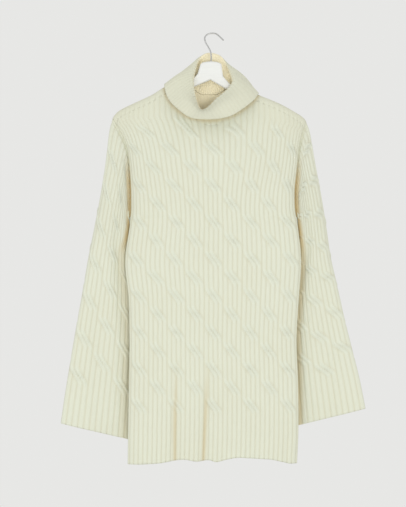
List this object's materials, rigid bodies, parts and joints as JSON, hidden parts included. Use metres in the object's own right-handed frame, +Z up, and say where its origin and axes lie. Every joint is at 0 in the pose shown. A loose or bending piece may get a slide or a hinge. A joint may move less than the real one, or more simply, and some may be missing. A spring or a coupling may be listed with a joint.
{
  "type": "sweater dress on a hanger",
  "caption": "Long cable-knit turtleneck sweater dress with wide set-in sleeves, hanging on a white wooden hanger with a wire hook.",
  "frame": {"origin": "the hook's seat, under the bend of the wire, where the hook rests on what it hangs on", "axes": "+Z up along the hanging dress, +X to the right in the picture, +Y from the front of the dress to its back"},
  "size_m": [0.6562, 0.1233, 0.9283],
  "materials": {
    "knit": "cream chunky wool knit, matt with a soft nap",
    "painted_wood": "white satin paint",
    "wire": "satin"
  },
  "bodies": {
    "root": {"front": "knit", "back": "knit", "sleeve_left": "knit", "sleeve_right": "knit", "collar": "knit", "hanger": "painted_wood", "hook": "wire"}
  },
  "joints": []
}
